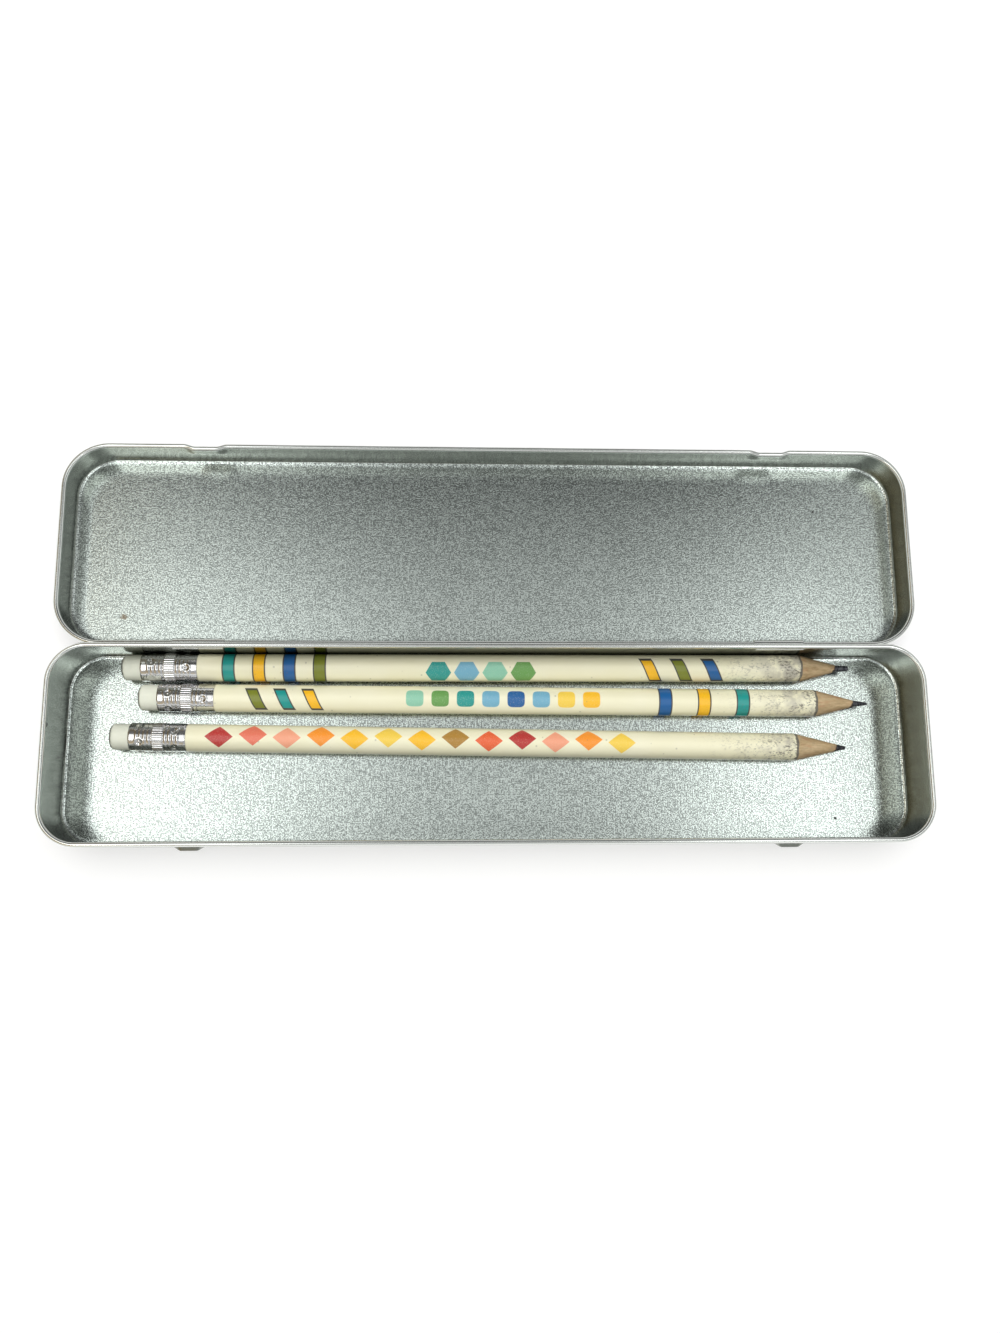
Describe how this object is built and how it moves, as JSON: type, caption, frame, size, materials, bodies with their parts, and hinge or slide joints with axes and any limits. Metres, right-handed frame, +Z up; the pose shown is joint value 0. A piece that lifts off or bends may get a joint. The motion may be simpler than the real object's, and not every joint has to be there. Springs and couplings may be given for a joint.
{
  "type": "pencil tin",
  "caption": "Shallow tinplate pencil tin with a tongue-hinged lid laid open flat, holding round pencils with erasers that slide in its tray.",
  "frame": {"origin": "middle of the tray's underside, on the table", "axes": "+X along the tin toward the pencils' points, +Y from the tray across the hinge to the open lid, +Z up"},
  "size_m": [0.2202, 0.1039, 0.0176],
  "materials": {
    "tray_tinplate": "satin tinplate with a fine grain",
    "lid_tinplate": "satin tinplate with a fine grain",
    "front_coat": "cream lacquered print",
    "middle_coat": "cream lacquered print",
    "rear_coat": "cream lacquered print",
    "cedar": "bare sharpened wood",
    "graphite": "satin",
    "ferrule_metal": "bright rolled",
    "eraser_rubber": "matt"
  },
  "bodies": {
    "tray": {"tray": "tray_tinplate"},
    "lid": {"lid": "lid_tinplate"},
    "front_pencil": {"front_upper_slat": "cedar", "front_lower_slat": "cedar", "front_lead": "graphite", "front_coat": "front_coat", "front_ferrule": "ferrule_metal", "front_eraser": "eraser_rubber"},
    "middle_pencil": {"middle_upper_slat": "cedar", "middle_lower_slat": "cedar", "middle_lead": "graphite", "middle_coat": "middle_coat", "middle_ferrule": "ferrule_metal", "middle_eraser": "eraser_rubber"},
    "rear_pencil": {"rear_upper_slat": "cedar", "rear_lower_slat": "cedar", "rear_lead": "graphite", "rear_coat": "rear_coat", "rear_ferrule": "ferrule_metal", "rear_eraser": "eraser_rubber"}
  },
  "joints": [
    {"name": "lid_hinge", "type": "hinge", "parent": "tray", "child": "lid", "pos_m": [0, 0.02595, 0.0091], "axis": [-1, 0, 0], "range_deg": [-180, 0]},
    {"name": "front_pencil_slide", "type": "slide", "parent": "tray", "child": "front_pencil", "axis": [0.9999, -0.0171, 0], "range_m": [-0.012, 0.016]},
    {"name": "middle_pencil_slide", "type": "slide", "parent": "tray", "child": "middle_pencil", "axis": [1, -0.0087, 0], "range_m": [-0.0185, 0.0095]},
    {"name": "rear_pencil_slide", "type": "slide", "parent": "tray", "child": "rear_pencil", "axis": [1, 0, 0], "range_m": [-0.0085, 0.012]}
  ]
}
